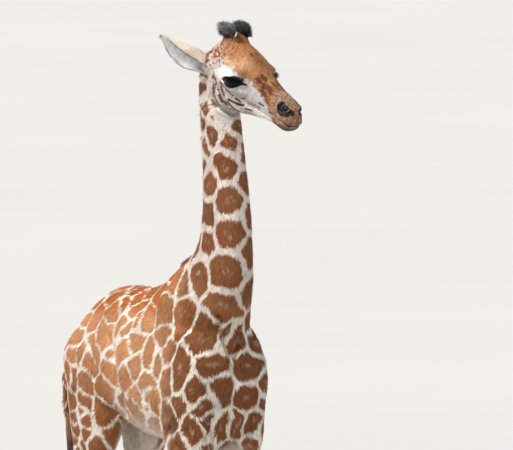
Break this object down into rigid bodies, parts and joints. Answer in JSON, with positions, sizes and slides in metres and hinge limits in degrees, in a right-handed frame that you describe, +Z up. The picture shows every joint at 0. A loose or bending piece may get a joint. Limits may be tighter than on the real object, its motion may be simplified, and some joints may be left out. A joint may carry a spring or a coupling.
{
  "type": "giraffe calf",
  "caption": "Life-size museum model of a young giraffe standing at rest, neck upright, head turned slightly to its left, cream coat lines round chestnut patches.",
  "frame": {"origin": "middle of the animal's outer box, on the floor that the hooves stand on", "axes": "+Z up, -Y the way the body faces, +X the animal's left"},
  "size_m": [0.2984, 0.9696, 1.8556],
  "materials": {
    "coat": "short hair, chestnut patches on cream",
    "mane_hair": "coarse upright hair",
    "black_hair": "coarse black hair",
    "eyeball": "wet dark eye",
    "hoof_horn": "dull horn"
  },
  "bodies": {
    "root": {"head": "coat", "lower_jaw": "coat", "neck": "coat", "trunk": "coat", "tail": "coat", "ear_right": "coat", "ear_left": "coat", "ossicone_right": "coat", "ossicone_left": "coat", "forearm_right": "coat", "fore_cannon_right": "coat", "fore_pastern_right": "coat", "thigh_right": "coat", "hind_cannon_right": "coat", "hind_pastern_right": "coat", "forearm_left": "coat", "fore_cannon_left": "coat", "fore_pastern_left": "coat", "thigh_left": "coat", "hind_cannon_left": "coat", "hind_pastern_left": "coat", "ossicone_tuft_right": "black_hair", "ossicone_tuft_left": "black_hair", "tail_tuft": "black_hair", "mane": "mane_hair", "eye_right": "eyeball", "eye_left": "eyeball", "hoof_fore_right_outer": "hoof_horn", "hoof_fore_right_inner": "hoof_horn", "hoof_fore_left_outer": "hoof_horn", "hoof_fore_left_inner": "hoof_horn", "hoof_hind_right_outer": "hoof_horn", "hoof_hind_right_inner": "hoof_horn", "hoof_hind_left_outer": "hoof_horn", "hoof_hind_left_inner": "hoof_horn"}
  },
  "joints": []
}
